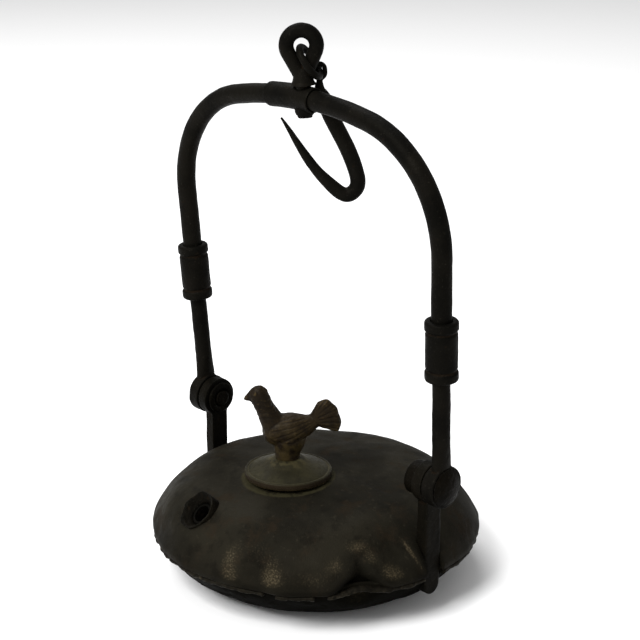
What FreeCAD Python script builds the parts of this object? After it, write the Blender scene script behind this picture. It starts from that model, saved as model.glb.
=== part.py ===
"""Miner's hanging oil lamp: a pillow-shaped iron font, a riveted bail, a swivel eye, a link and a hook.

Millimetres, +Z up. The origin is the centre of the flat base. The wick points towards -Y, and the bail
turns on rivets that lie along X. The bail, swivel, link and hook are drawn upright and then leaned.
"""
import FreeCAD, Part
import math
import os

import Sketcher

doc = FreeCAD.newDocument("hanging_oil_lamp")
Vector = FreeCAD.Vector
UP = Vector(0, 0, 1)


# ---- driving sizes ---------------------------------------------------------------------------------

SIZES = {
    # font
    "rim_radius": 57.5,
    "wall": 1.6,
    "rim_height": 17.6,
    "rim_slope": 70.0,
    "font_height": 37.0,
    "shoulder_round": 26.0,
    "base_flat": 32.5,
    "base_round": 26.0,
    "skirt_drop": 2.0,
    "braze_width": 1.3,
    # filler
    "filler_offset": -13.0,
    "neck_radius": 11.5,
    "neck_bore": 9.0,
    "neck_depth": 9.6,
    "washer_thickness": 0.8,
    "washer_radius": 12.8,
    "washer_bore": 9.3,
    "cap_radius": 15.0,
    "cap_lip": 2.0,
    "cap_edge": 2.4,
    "cap_step": 0.8,
    "cap_rise": 4.0,
    "cap_top_radius": 5.0,
    "plug_radius": 8.95,
    "plug_bore": 6.5,
    "plug_length": 9.6,
    "plug_roof": 2.0,
    "stud_radius": 2.0,
    "stud_head_radius": 3.4,
    "stud_head": 1.2,
    "perch_inset": 0.4,
    "perch_top": 4.4,
    "perch_height": 6.0,
    "stud_reach": 4.5,
    "finial_turn": 47.0,
    # wick
    "wick_place_radius": 47.0,
    "wick_swing": 10.0,
    "wick_slope": 45.0,
    "wick_height": 31.0,
    "wick_bore": 2.9,
    "wick_tube_radius": 3.9,
    "wick_tube_length": 30.0,
    "wick_nut_radius": 7.9,
    "wick_nut_depth": 6.0,
    "wick_nut_stand": 1.2,
    "wick_mouth_radius": 6.2,
    "wick_mouth_depth": 3.0,
    # lugs and rivets
    "pivot_height": 47.5,
    "lug_inner": 51.5,
    "lug_thickness": 4.3,
    "lug_width": 7.2,
    "ear_radius": 7.0,
    "foot_height": 7.8,
    "shank_radius": 3.0,
    "head_radius": 6.7,
    "head_rise": 1.8,
    "fit_gap": 0.1,
    "burr_chamfer": 0.5,
    "burr_radius": 5.8,
    "burr_right": 4.7,
    "burr_left": 1.5,
    "peen": 0.6,
    # bail
    "bail_lean": 3.8,
    "leg_tilt": 1.9,
    "eye_gap": 0.3,
    "eye_radius": 7.2,
    "eye_thickness": 4.9,
    "eye_bore": 3.05,
    "arm_radius": 3.05,
    "arm_reach": 47.0,
    "flare_start": 6.85,
    "flare_end": 15.0,
    "flare_half_width": 4.0,
    "arch_radius": 3.45,
    "arch_start": 77.4,
    "arch_shoulder": 38.0,
    "crown_height": 166.5,
    "collar_start": 37.1,
    "collar_length": 20.3,
    "collar_radius": 5.5,
    "collar_waist": 5.25,
    "collar_edge": 1.0,
    "collar_bead": 3.0,
    "collar_step": 0.5,
    "collar_groove": 4.95,
    "boss_radius": 4.15,
    "boss_left": 12.5,
    "boss_right": 8.0,
    # swivel, link and hook
    "swivel_offset": 3.0,
    "swivel_turn": 47.0,
    "swivel_shank": 2.5,
    "swivel_hole": 2.55,
    "swivel_tail": 6.2,
    "swivel_peen": 0.3,
    "swivel_burr_edge": 0.6,
    "flange_bevel": 0.8,
    "flange_edge": 0.9,
    "stem_cone": 1.6,
    "drill_reach": 20.0,
    "swivel_burr": 3.4,
    "swivel_flange": 4.4,
    "swivel_seat": 4.45,
    "ring_height": 16.9,
    "ring_mean": 4.8,
    "ring_wire": 2.45,
    "ring_foot": 1.1,
    "ring_foot_height": 8.2,
    "link_mean": 5.43,
    "link_wire": 0.85,
    "hook_eye_wire": 0.75,
    "hook_eye_half_width": 1.77,
    "hook_eye_half_length": 2.33,
}

sheet = doc.addObject("Spreadsheet::Sheet", "Sizes")
for row, (alias, number) in enumerate(SIZES.items(), start=1):
    sheet.set(f"A{row}", alias)
    sheet.set(f"B{row}", str(number))
    sheet.setAlias(f"B{row}", alias)
doc.recompute()


class Dim:
    """A length or angle: its number now, and the expression over the sheet that yields it."""

    def __init__(self, number, text):
        self.number = number
        self.text = text

    def joined(self, sign, other, number):
        return Dim(number, f"({self.text} {sign} {as_dim(other).text})")

    def __add__(self, other):
        return self.joined("+", other, self.number + as_dim(other).number)

    def __sub__(self, other):
        return self.joined("-", other, self.number - as_dim(other).number)

    def __mul__(self, other):
        return self.joined("*", other, self.number * as_dim(other).number)

    def __truediv__(self, other):
        return self.joined("/", other, self.number / as_dim(other).number)

    def __radd__(self, other):
        return as_dim(other) + self

    def __rsub__(self, other):
        return as_dim(other) - self

    def __rmul__(self, other):
        return as_dim(other) * self

    def __neg__(self):
        return as_dim(0) - self

    def sine(self):
        return Dim(math.sin(math.radians(self.number)), f"sin({self.text})")

    def cosine(self):
        return Dim(math.cos(math.radians(self.number)), f"cos({self.text})")

    def root(self):
        return Dim(math.sqrt(self.number), f"sqrt({self.text})")


def as_dim(value):
    return value if isinstance(value, Dim) else Dim(float(value), f"{value}")


def size(alias):
    return Dim(float(sheet.get(alias)), f"Sizes.{alias}")


# ---- drawing helpers -------------------------------------------------------------------------------

def bind(item, **properties):
    """Give each property its expression over the sheet."""
    for name, value in properties.items():
        item.setExpression(name, as_dim(value).text)
    return item


def place(item, x=0, y=0, z=0, rotation=FreeCAD.Rotation()):
    """Put an object at x, y, z, with those three bound to the sheet."""
    spot = [as_dim(value) for value in (x, y, z)]
    item.Placement = FreeCAD.Placement(Vector(*(value.number for value in spot)), rotation)
    for letter, value in zip("xyz", spot):
        if value.number:
            item.setExpression(f".Placement.Base.{letter}", value.text)
    return item


def origin_plane(body, role):
    return next(item for item in body.Origin.OriginFeatures if item.Role == role)


def new_sketch(body, name, role="XZ_Plane", offset=None):
    sketch = body.newObject("Sketcher::SketchObject", name)
    sketch.AttachmentSupport = [(origin_plane(body, role), "")]
    sketch.MapMode = "FlatFace"
    if offset is not None:
        sketch.AttachmentOffset = offset
    return sketch


def pin_point(sketch, geometry, end, point):
    """Fix one end of a sketch element at a point given by two sizes."""
    for kind, axis, value in (("DistanceX", -2, point[0]), ("DistanceY", -1, point[1])):
        if value.number == 0:
            sketch.addConstraint(Sketcher.Constraint("PointOnObject", geometry, end, axis))
            continue
        index = sketch.addConstraint(Sketcher.Constraint(kind, -1, 1, geometry, end, value.number))
        sketch.setExpression(f"Constraints[{index}]", value.text)


def draw(sketch, points, closed=True):
    """Draw a run of lines and arcs.

    Each point is (x, y) for a straight line to it, or (x, y, radius) for an arc to it. A positive
    radius turns left on the way, and a negative one turns right.
    """
    dims = [tuple(as_dim(value) for value in point) for point in points]
    steps = list(zip(dims, dims[1:] + dims[:1])) if closed else list(zip(dims, dims[1:]))
    heads = []
    tails = []
    for start, end in steps:
        a = Vector(start[0].number, start[1].number, 0)
        b = Vector(end[0].number, end[1].number, 0)
        if len(end) == 2:
            index = sketch.addGeometry(Part.LineSegment(a, b), False)
            heads.append((index, 1))
            tails.append((index, 2))
            continue
        radius = abs(end[2].number)
        turn = math.copysign(1, end[2].number)
        half = (b - a) * 0.5
        side = Vector(-half.y, half.x, 0).normalize()
        centre = a + half + side * (turn * math.sqrt(radius ** 2 - half.Length ** 2))
        angle_a = math.atan2(a.y - centre.y, a.x - centre.x)
        angle_b = math.atan2(b.y - centre.y, b.x - centre.x)
        first, last = (angle_a, angle_b) if turn > 0 else (angle_b, angle_a)
        index = sketch.addGeometry(Part.ArcOfCircle(Part.Circle(centre, UP, radius), first, last), False)
        heads.append((index, 1 if turn > 0 else 2))
        tails.append((index, 2 if turn > 0 else 1))
        constraint = sketch.addConstraint(Sketcher.Constraint("Radius", index, radius))
        text = end[2].text if turn > 0 else (-end[2]).text
        sketch.setExpression(f"Constraints[{constraint}]", text)
    for (start, _), head in zip(steps, heads):
        pin_point(sketch, head[0], head[1], start)
    if not closed:
        pin_point(sketch, tails[-1][0], tails[-1][1], steps[-1][1])
    followers = heads[1:] + (heads[:1] if closed else [])
    for tail, head in zip(tails, followers):
        sketch.addConstraint(Sketcher.Constraint("Coincident", *tail, *head))


def turned(name, points):
    """A body turned about its own Z axis from a half outline of (radius, height) points."""
    body = doc.addObject("PartDesign::Body", name)
    sketch = new_sketch(body, f"{name}_outline")
    draw(sketch, points)
    revolution = body.newObject("PartDesign::Revolution", f"{name}_turning")
    revolution.Profile = sketch
    revolution.ReferenceAxis = (sketch, ["V_Axis"])
    revolution.Angle = 360
    return body


def bar(name, points, radius, start_slope):
    """A round bar bent along an open path in the XZ plane; start_slope leans its first stretch."""
    body = doc.addObject("PartDesign::Body", name)
    path = new_sketch(body, f"{name}_path")
    draw(path, points, closed=False)
    start = Vector(as_dim(points[0][0]).number, 0, as_dim(points[0][1]).number)
    frame = FreeCAD.Placement(start, FreeCAD.Rotation(Vector(0, 1, 0), start_slope))
    section = new_sketch(body, f"{name}_section", "XY_Plane", frame)
    circle = section.addGeometry(Part.Circle(Vector(), UP, radius.number), False)
    section.addConstraint(Sketcher.Constraint("Coincident", circle, 3, -1, 1))
    limit = section.addConstraint(Sketcher.Constraint("Radius", circle, radius.number))
    section.setExpression(f"Constraints[{limit}]", radius.text)
    pipe = body.newObject("PartDesign::AdditivePipe", f"{name}_pipe")
    pipe.Profile = section
    pipe.Spine = (path, [f"Edge{number}" for number in range(1, len(points))])
    return body


def cylinder(name, radius, height):
    return bind(doc.addObject("Part::Cylinder", name), Radius=radius, Height=height)


def cone(name, bottom, top, height):
    return bind(doc.addObject("Part::Cone", name), Radius1=bottom, Radius2=top, Height=height)


def box(name, length, width, height):
    return bind(doc.addObject("Part::Box", name), Length=length, Width=width, Height=height)


def fused(name, *items):
    fuse = doc.addObject("Part::MultiFuse", name)
    fuse.Shapes = list(items)
    fuse.Refine = True
    return fuse


def drilled(name, base, *tools):
    """The base with every tool taken away from it."""
    cut = doc.addObject("Part::Cut", name)
    cut.Base = base
    cut.Tool = tools[0] if len(tools) == 1 else fused(f"{name}_tools", *tools)
    return cut


SUB_PARTS = []


def sub_part(label, item):
    """Name a finished object as a sub-part, which gives its file its name."""
    item.Label = label
    SUB_PARTS.append(item)
    return item


ALONG_X = FreeCAD.Rotation(Vector(0, 1, 0), 90)
AGAINST_X = FreeCAD.Rotation(Vector(0, 1, 0), -90)

LEAN = FreeCAD.Rotation(Vector(1, 0, 0), size("bail_lean").number)
PIVOT = Vector(0, 0, size("pivot_height").number)
LEANED = FreeCAD.Placement(PIVOT - LEAN.multVec(PIVOT), LEAN)


def leaned(item):
    """Lean a finished part of the bail about the rivets' axis."""
    item.Placement = LEANED.multiply(item.Placement)
    return item


# ---- the font: two dished shells with a brazed seam --------------------------------------------------

rim = size("rim_radius")
wall = size("wall")
rim_z = size("rim_height")
slope = size("rim_slope")
top_z = size("font_height")
shoulder = size("shoulder_round")
skirt_bore = rim - wall * slope.sine()
skirt_low = rim_z - size("skirt_drop")

shoulder_x = rim - shoulder * slope.sine()
shoulder_z = rim_z - shoulder * slope.cosine()
shoulder_drop = top_z - shoulder_z
dome = (shoulder_x * shoulder_x + shoulder_drop * shoulder_drop - shoulder * shoulder) / (
    2 * (shoulder_drop - shoulder))


def dome_meets_shoulder(dome_round):
    """The point where the crown's arc runs into the shoulder's, on a skin of the given round."""
    share = dome_round / (dome - shoulder)
    return share * shoulder_x, top_z - dome + share * (shoulder_z - top_z + dome)


outer_meet = dome_meets_shoulder(dome)
inner_meet = dome_meets_shoulder(dome - wall)
top_dish = turned("top_dish", [
    (rim, skirt_low),
    (rim, rim_z),
    (*outer_meet, shoulder),
    (0, top_z, dome),
    (0, top_z - wall),
    (*inner_meet, -(dome - wall)),
    (skirt_bore, rim_z - wall * slope.cosine(), -(shoulder - wall)),
    (skirt_bore, skirt_low),
])

flat = size("base_flat")
base_round = size("base_round")
inner_round = base_round - wall
stand_x = skirt_bore - wall
lip_rise = base_round - (base_round * base_round - (skirt_bore - flat) * (skirt_bore - flat)).root()
inner_rise = base_round - (inner_round * inner_round - (stand_x - flat) * (stand_x - flat)).root()
stand_top = rim_z - wall * slope.cosine() - size("fit_gap")
bottom_dish = turned("bottom_dish", [
    (0, 0),
    (flat, 0),
    (skirt_bore, lip_rise, base_round),
    (skirt_bore, stand_top),
    (stand_x, stand_top),
    (stand_x, inner_rise),
    (flat, wall, -inner_round),
    (0, wall),
])

braze = turned("seam_ring", [
    (skirt_bore, lip_rise),
    (skirt_bore + size("braze_width"), skirt_low),
    (skirt_bore, skirt_low),
])

lug_x = size("lug_inner")
lug_width = size("lug_width")
NOTCH_REACH = 10
NOTCH_HEIGHT = 60


def notch(name, side):
    """The slot in the rim that a lug's strap is let into."""
    tool = box(name, NOTCH_REACH, lug_width, NOTCH_HEIGHT)
    start = lug_x if side > 0 else -lug_x - NOTCH_REACH
    return place(tool, start, -lug_width / 2, -1)


# ---- the wick's place: a nut-like collar and a tube that slopes down into the oil --------------------

wick_out = size("wick_place_radius")
swing = size("wick_swing")
wick_x = -wick_out * swing.sine()
wick_y = -wick_out * swing.cosine()
wick_z = size("wick_height")
WICK_TURN = (FreeCAD.Rotation(UP, -swing.number)
             * FreeCAD.Rotation(Vector(1, 0, 0), size("wick_slope").number))
wick_stand = size("wick_nut_stand")
wick_nut_length = size("wick_nut_depth") + wick_stand


def at_wick(item, along):
    """Stand an object on the wick's axis, the given distance out from the shell."""
    axis = WICK_TURN.multVec(UP)
    reach = as_dim(along)
    return place(item, wick_x + axis.x * reach, wick_y + axis.y * reach, wick_z + axis.z * reach, WICK_TURN)


def wick_nut(name):
    nut = doc.addObject("Part::Prism", name)
    nut.Polygon = 6
    bind(nut, Circumradius=size("wick_nut_radius"), Height=wick_nut_length)
    return at_wick(nut, -size("wick_nut_depth"))


wick_tube_radius = size("wick_tube_radius")
wick_mouth = cone("wick_mouth", wick_tube_radius, size("wick_mouth_radius"), size("wick_mouth_depth"))
at_wick(wick_mouth, wick_stand - size("wick_mouth_depth"))
wick_seat = at_wick(cylinder("wick_seat", wick_tube_radius, wick_nut_length), -size("wick_nut_depth"))
sub_part("wick_collar", drilled("wick_collar", wick_nut("wick_blank"), wick_mouth, wick_seat))

wick_end = wick_stand - size("wick_mouth_depth") - size("wick_tube_length")
wick_wall = at_wick(cylinder("wick_wall", wick_tube_radius, size("wick_tube_length")), wick_end)
wick_hole = at_wick(cylinder("wick_hole", size("wick_bore"), size("wick_tube_length")), wick_end)
sub_part("wick_tube", drilled("wick_tube", wick_wall, wick_hole))

filler_y = size("filler_offset")
neck_hole = place(cylinder("neck_hole", size("neck_radius"), NOTCH_HEIGHT), 0, filler_y, wall)
sub_part("font_top_shell", drilled("font_top_shell", top_dish, notch("top_notch_right", 1),
                                   notch("top_notch_left", -1), wick_nut("wick_opening"), neck_hole))
sub_part("font_bottom_shell", drilled("font_bottom_shell", bottom_dish,
                                      notch("bottom_notch_right", 1), notch("bottom_notch_left", -1)))
sub_part("seam_braze", drilled("seam_braze", braze, notch("seam_notch_right", 1),
                               notch("seam_notch_left", -1)))


# ---- the filler: bush, washer, cap, plug and finial --------------------------------------------------

seat = top_z
neck_low = seat - size("neck_depth")
neck_bore = size("neck_bore")
neck = turned("filler_neck", [
    (neck_bore, neck_low),
    (size("neck_radius"), neck_low),
    (size("neck_radius"), seat),
    (neck_bore, seat),
])
sub_part("filler_neck", place(neck, 0, filler_y))

washer_top = seat + size("washer_thickness")
washer = turned("cap_washer", [
    (size("washer_bore"), seat),
    (size("washer_radius"), seat),
    (size("washer_radius"), washer_top),
    (size("washer_bore"), washer_top),
])
sub_part("cap_washer", place(washer, 0, filler_y))

cap_radius = size("cap_radius")
stud = size("stud_radius")
cap_edge_top = seat + size("cap_edge")
cap_step = size("cap_step")
cap_top = cap_edge_top + size("cap_rise")
cap_top_radius = size("cap_top_radius")
cap = turned("filler_cap", [
    (stud, washer_top),
    (cap_radius - size("cap_lip"), washer_top),
    (cap_radius - size("cap_lip"), seat),
    (cap_radius, seat),
    (cap_radius, cap_edge_top - cap_step / 2),
    (cap_radius - cap_step / 2, cap_edge_top, cap_step / 2),
    (cap_radius - cap_step, cap_edge_top + cap_step),
    (cap_top_radius, cap_top, cap_radius),
    (stud, cap_top),
])
sub_part("filler_cap", place(cap, 0, filler_y))

plug_low = washer_top - size("plug_length")
roof_low = washer_top - size("plug_roof")
plug = turned("cap_plug", [
    (size("plug_bore"), plug_low),
    (size("plug_radius"), plug_low),
    (size("plug_radius"), washer_top),
    (stud, washer_top),
    (stud, roof_low),
    (size("plug_bore"), roof_low),
])
sub_part("cap_plug", place(plug, 0, filler_y))

stud_top = cap_top + size("stud_reach")
rivet = turned("rooster_rivet", [
    (0, roof_low - size("stud_head")),
    (size("stud_head_radius"), roof_low - size("stud_head")),
    (size("stud_head_radius"), roof_low),
    (stud, roof_low),
    (stud, stud_top),
    (0, stud_top),
])
sub_part("rooster_rivet", place(rivet, 0, filler_y))


def ellipsoid(name, length, width, height, x, z, tilt=0):
    """A rounded lump: its half sizes, its place in the bird's own plane, and its nose-down tilt."""
    lump = doc.addObject("Part::Ellipsoid", name)
    bind(lump, Radius1=height, Radius2=length, Radius3=width)
    lump.Angle1 = -90
    lump.Angle2 = 90
    return place(lump, x, 0, z, FreeCAD.Rotation(Vector(0, 1, 0), tilt))


def limb(name, bottom, top, length, x, z, tilt):
    """A tapered limb that starts at x, z and leans away from the upright by its tilt."""
    return place(cone(name, bottom, top, length), x, 0, z, FreeCAD.Rotation(Vector(0, 1, 0), tilt))


# Each rounded lump of the bird: half length, half width, half height, its place along the bird and
# above the cap, and its tilt in degrees.
BIRD_ROUNDS = (
    ("rooster_body", 9.8, 5.2, 6.2, 0.4, 10.6, -4),
    ("rooster_head", 3.7, 2.6, 3.0, -9.6, 22.6, 0),
    ("rooster_comb", 2.4, 0.8, 1.8, -9.4, 24.4, 0),
    ("rooster_tail", 3.9, 2.5, 6.3, 12.9, 14.9, -14),
    ("rooster_rump", 5.0, 3.0, 3.8, 8.6, 12.0, -30),
)
# Each limb: radius below, radius above, length, place along the bird and above the cap, and tilt.
BIRD_LIMBS = (
    ("rooster_neck", 5.6, 2.7, 12.5, -3.6, 11.5, -28),
    ("rooster_beak", 1.7, 0.3, 3.9, -11.6, 21.6, -106),
)
bird = fused(
    "rooster_casting",
    limb("rooster_stand", cap_top_radius - size("perch_inset"), size("perch_top"), size("perch_height"),
         0, cap_top, 0),
    *(ellipsoid(name, *halves, along, cap_top + above, tilt)
      for name, *halves, along, above, tilt in BIRD_ROUNDS),
    *(limb(name, *taper, along, cap_top + above, tilt)
      for name, *taper, along, above, tilt in BIRD_LIMBS),
)
stud_seat = place(cylinder("rooster_bore", stud, size("stud_reach")), 0, 0, cap_top)
rooster = drilled("rooster", bird, stud_seat)
sub_part("rooster", place(rooster, 0, filler_y, 0, FreeCAD.Rotation(UP, size("finial_turn").number)))


# ---- lugs, rivets and burrs --------------------------------------------------------------------------

pivot_z = size("pivot_height")
lug_thickness = size("lug_thickness")
ear_face = lug_x + lug_thickness
shank = size("shank_radius")
foot_z = size("foot_height") + lug_width / 2
eye_face = ear_face + size("eye_gap")
head_face = eye_face + size("eye_thickness") + size("fit_gap")


def lug(name, side):
    """A strap with a round ear above and a rounded foot below, drilled for the rivet."""
    start = lug_x if side > 0 else -ear_face
    strap = place(box(f"{name}_strap", lug_thickness, lug_width, pivot_z - foot_z),
                  start, -lug_width / 2, foot_z)
    ear = place(cylinder(f"{name}_ear", size("ear_radius"), lug_thickness), start, 0, pivot_z, ALONG_X)
    foot = place(cylinder(f"{name}_foot", lug_width / 2, lug_thickness), start, 0, foot_z, ALONG_X)
    hole = place(cylinder(f"{name}_hole", shank, lug_thickness), start, 0, pivot_z, ALONG_X)
    return sub_part(name, drilled(name, fused(f"{name}_forging", strap, ear, foot), hole))


def pivot_rivet(name, side, burr_thickness):
    """A rivet with a low domed head outside and a peened tail inside."""
    tail = lug_x - burr_thickness - size("peen")
    head_radius = size("head_radius")
    rise = size("head_rise")
    head_round = (head_radius * head_radius + rise * rise) / (2 * rise)
    body = turned(name, [
        (0, tail),
        (shank, tail),
        (shank, head_face),
        (head_radius, head_face),
        (0, head_face + rise, head_round),
    ])
    return sub_part(name, place(body, 0, 0, pivot_z, ALONG_X if side > 0 else AGAINST_X))


def rivet_burr(name, side, burr_thickness):
    burr = size("burr_radius")
    chamfer = size("burr_chamfer")
    body = turned(name, [
        (shank, lug_x - burr_thickness),
        (burr - chamfer, lug_x - burr_thickness),
        (burr, lug_x - burr_thickness + chamfer),
        (burr, lug_x),
        (shank, lug_x),
    ])
    return sub_part(name, place(body, 0, 0, pivot_z, ALONG_X if side > 0 else AGAINST_X))


for word, side in (("right", 1), ("left", -1)):
    lug(f"lug_{word}", side)
    pivot_rivet(f"pivot_rivet_{word}", side, size(f"burr_{word}"))
    rivet_burr(f"rivet_burr_{word}", side, size(f"burr_{word}"))


# ---- the bail: two arms, two collars, the arch and its crown boss -------------------------------------

leg_tilt = size("leg_tilt")
leg_x = eye_face + size("eye_thickness") / 2


def leg_point(distance, side=1):
    """A point on a leg's centreline, the given distance from the rivet's axis."""
    return side * (leg_x + distance * leg_tilt.sine()), pivot_z + distance * leg_tilt.cosine()


def on_leg(item, distance, side):
    x, z = leg_point(as_dim(distance), side)
    return place(item, x, 0, z, FreeCAD.Rotation(Vector(0, 1, 0), side * leg_tilt.number))


def bail_arm(name, side):
    """A round rod that is forged flat and flared into a drilled eye."""
    start = eye_face if side > 0 else -(eye_face + size("eye_thickness"))
    eye = place(cylinder(f"{name}_eye", size("eye_radius"), size("eye_thickness")), start, 0, pivot_z, ALONG_X)
    hole = place(cylinder(f"{name}_bore", size("eye_bore"), size("eye_thickness")), start, 0, pivot_z, ALONG_X)
    wide = bind(doc.addObject("Part::Ellipse", f"{name}_flat"),
                MajorRadius=size("flare_half_width"), MinorRadius=size("eye_thickness") / 2)
    round_end = bind(doc.addObject("Part::Circle", f"{name}_round"), Radius=size("arm_radius"))
    quarter = FreeCAD.Rotation(UP, 90)
    on_leg(wide, size("flare_start"), side)
    wide.Placement.Rotation = wide.Placement.Rotation * quarter
    on_leg(round_end, size("flare_end"), side)
    round_end.Placement.Rotation = round_end.Placement.Rotation * quarter
    flare = doc.addObject("Part::Loft", f"{name}_flare")
    flare.Sections = [wide, round_end]
    flare.Solid = True
    rod_length = size("arm_reach") - size("flare_end")
    rod = on_leg(cylinder(f"{name}_rod", size("arm_radius"), rod_length), size("flare_end"), side)
    arm = drilled(name, fused(f"{name}_forging", eye, flare, rod), hole)
    return sub_part(name, leaned(arm))


def bail_collar(name, side):
    """A ringed sleeve over the joint of arm and arch, with a groove near each end."""
    long = size("collar_length")
    full = size("collar_radius")
    groove = size("collar_groove")
    waist = size("collar_waist")
    seam = size("arm_reach") - size("collar_start")
    edge = size("collar_edge")
    bead = size("collar_bead")
    step = size("collar_step")
    body = turned(f"{name}_sleeve", [
        (size("arm_radius"), 0),
        (full - edge, 0),
        (full, edge, edge),
        (full, bead),
        (groove, bead + step),
        (groove, bead + step * 2),
        (waist, bead + step * 3),
        (waist, long - bead - step * 3),
        (groove, long - bead - step * 2),
        (groove, long - bead - step),
        (full, long - bead),
        (full, long - edge),
        (full - edge, long, edge),
        (size("arch_radius"), long),
        (size("arch_radius"), seam),
        (size("arm_radius"), seam),
    ])
    return sub_part(name, leaned(on_leg(body, size("collar_start"), side)))


arch_shoulder = size("arch_shoulder")
crown_z = size("crown_height")
bend_x, bend_z = leg_point(size("arch_start"))
centre_x = bend_x - arch_shoulder * leg_tilt.cosine()
centre_z = bend_z + arch_shoulder * leg_tilt.sine()
crown_rise = crown_z - centre_z
crown_round = (centre_x * centre_x + crown_rise * crown_rise - arch_shoulder * arch_shoulder) / (
    2 * (crown_rise - arch_shoulder))
crown_share = crown_round / (crown_round - arch_shoulder)
meet_x = crown_share * centre_x
meet_z = crown_z - crown_round + crown_share * (centre_z - crown_z + crown_round)

swivel_x = size("swivel_offset")
drill = size("drill_reach")
swivel_drill = place(cylinder("swivel_drill", size("swivel_hole"), drill), swivel_x, 0, crown_z - drill / 2)
boss_drill = place(cylinder("boss_drill", size("swivel_hole"), drill), swivel_x, 0, crown_z - drill / 2)

left_x, left_z = leg_point(size("arm_reach"), -1)
right_x, right_z = leg_point(size("arm_reach"))
arch = bar("arch_bar", [
    (left_x, left_z),
    (-bend_x, bend_z),
    (-meet_x, meet_z, -arch_shoulder),
    (meet_x, meet_z, -crown_round),
    (bend_x, bend_z, -arch_shoulder),
    (right_x, right_z),
], size("arch_radius"), -leg_tilt.number)
sub_part("bail_arch", leaned(drilled("bail_arch", arch, swivel_drill)))


def crown_point(x):
    """A point on the crown's arc at the given distance right of the middle."""
    return x, crown_z - crown_round + (crown_round * crown_round - x * x).root()


def crown_sleeve(name, radius):
    start = crown_point(-size("boss_left"))
    end = crown_point(size("boss_right"))
    lean_back = math.degrees(math.asin(size("boss_left").number / crown_round.number))
    return bar(name, [start, (*end, -crown_round)], radius, 90 - lean_back)


boss = drilled("crown_boss", crown_sleeve("boss_sleeve", size("boss_radius")),
               crown_sleeve("boss_bore", size("arch_radius")), boss_drill)
sub_part("crown_boss", leaned(boss))

for word, side in (("right", 1), ("left", -1)):
    bail_arm(f"bail_arm_{word}", side)
    bail_collar(f"collar_{word}", side)


# ---- the swivel eye and its burr ---------------------------------------------------------------------

SWIVEL = FreeCAD.Placement(Vector(swivel_x.number, 0, crown_z.number),
                           FreeCAD.Rotation(UP, size("swivel_turn").number))


def on_swivel(item):
    """Move an object drawn about the swivel's axis to its place on the leaned crown."""
    item.Placement = LEANED.multiply(SWIVEL).multiply(item.Placement)
    return item


ring_mean = size("ring_mean")
ring_z = size("ring_height")
foot_x = size("ring_foot")
foot_rise = ring_z - size("ring_foot_height")
foot_span = (foot_x * foot_x + foot_rise * foot_rise).root()
leg_span = (foot_span * foot_span - ring_mean * ring_mean).root()
# the tangent from the ring's foot to its round top, in the plane of the eye
leg_run = (foot_rise * ring_mean - foot_x * leg_span) / (foot_span * foot_span)
leg_climb = (foot_x * ring_mean + foot_rise * leg_span) / (foot_span * foot_span)
touch_x = foot_x + leg_span * leg_run
touch_z = size("ring_foot_height") + leg_span * leg_climb
half_ring = bar("half_ring", [
    (foot_x, size("ring_foot_height")),
    (touch_x, touch_z),
    (0, ring_z + ring_mean, ring_mean),
], size("ring_wire"), math.degrees(math.atan2(leg_run.number, leg_climb.number)))
other_half = doc.addObject("Part::Mirroring", "other_half")
other_half.Source = half_ring
other_half.Base = Vector()
other_half.Normal = Vector(1, 0, 0)

swivel_seat = size("swivel_seat")
flange = size("swivel_flange")
swivel_shank = size("swivel_shank")
swivel_tail = size("swivel_tail")
swivel_stem = turned("swivel_stem", [
    (0, -swivel_tail),
    (swivel_shank, -swivel_tail),
    (swivel_shank, swivel_seat),
    (flange, swivel_seat),
    (flange - size("flange_bevel"), swivel_seat + size("flange_edge")),
    (size("ring_wire"), size("ring_foot_height") + size("stem_cone")),
    (0, size("ring_foot_height") + size("stem_cone")),
])
sub_part("swivel_eye", on_swivel(fused("swivel_eye", half_ring, other_half, swivel_stem)))

burr_low = size("swivel_peen") - swivel_tail
burr_edge = size("swivel_burr_edge")
swivel_burr = turned("swivel_burr", [
    (swivel_shank, burr_low),
    (size("swivel_burr") - burr_edge, burr_low),
    (size("swivel_burr"), burr_low + burr_edge, burr_edge),
    (size("swivel_burr"), -swivel_seat),
    (swivel_shank, -swivel_seat),
])
sub_part("swivel_burr", on_swivel(swivel_burr))


# ---- the link and the hook ---------------------------------------------------------------------------

# In the swivel's plane, x runs along the eye's face and y away from its back.
LINK_CENTRE = Vector(2.35, 1.0, 11.34)
LINK_NORMAL = Vector(0.832, -0.154, 0.533)

link = bind(doc.addObject("Part::Torus", "hook_link"), Radius1=size("link_mean"), Radius2=size("link_wire"))
link.Placement = FreeCAD.Placement(LINK_CENTRE, FreeCAD.Rotation(UP, LINK_NORMAL))
sub_part("hook_link", on_swivel(link))

# Stations down the hook: its x, y and z, and the forging's half thickness there.
HOOK_STATIONS = (
    (5.3, 3.25, 5.2, 0.95),
    (5.1, 3.25, 3.6, 1.2),
    (5.1, 3.5, 1.7, 1.75),
    (5.9, 4.1, -0.6, 2.4),
    (7.2, 4.5, -4.6, 2.6),
    (10.6, 4.5, -12.6, 2.6),
    (13.9, 4.5, -20.4, 2.6),
    (15.7, 4.5, -26.6, 2.5),
    (15.6, 4.5, -31.6, 2.5),
    (12.6, 4.5, -33.9, 2.4),
    (8.3, 4.5, -31.4, 2.2),
    (3.6, 4.5, -26.2, 1.8),
    (-0.8, 4.5, -19.6, 1.45),
    (-4.4, 4.5, -13.0, 0.95),
    (-7.8, 4.5, -7.0, 0.35),
)
HOOK_EYE = Vector(5.3, 3.3, 7.81)


HOOK_SPACING = 1.4


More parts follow.
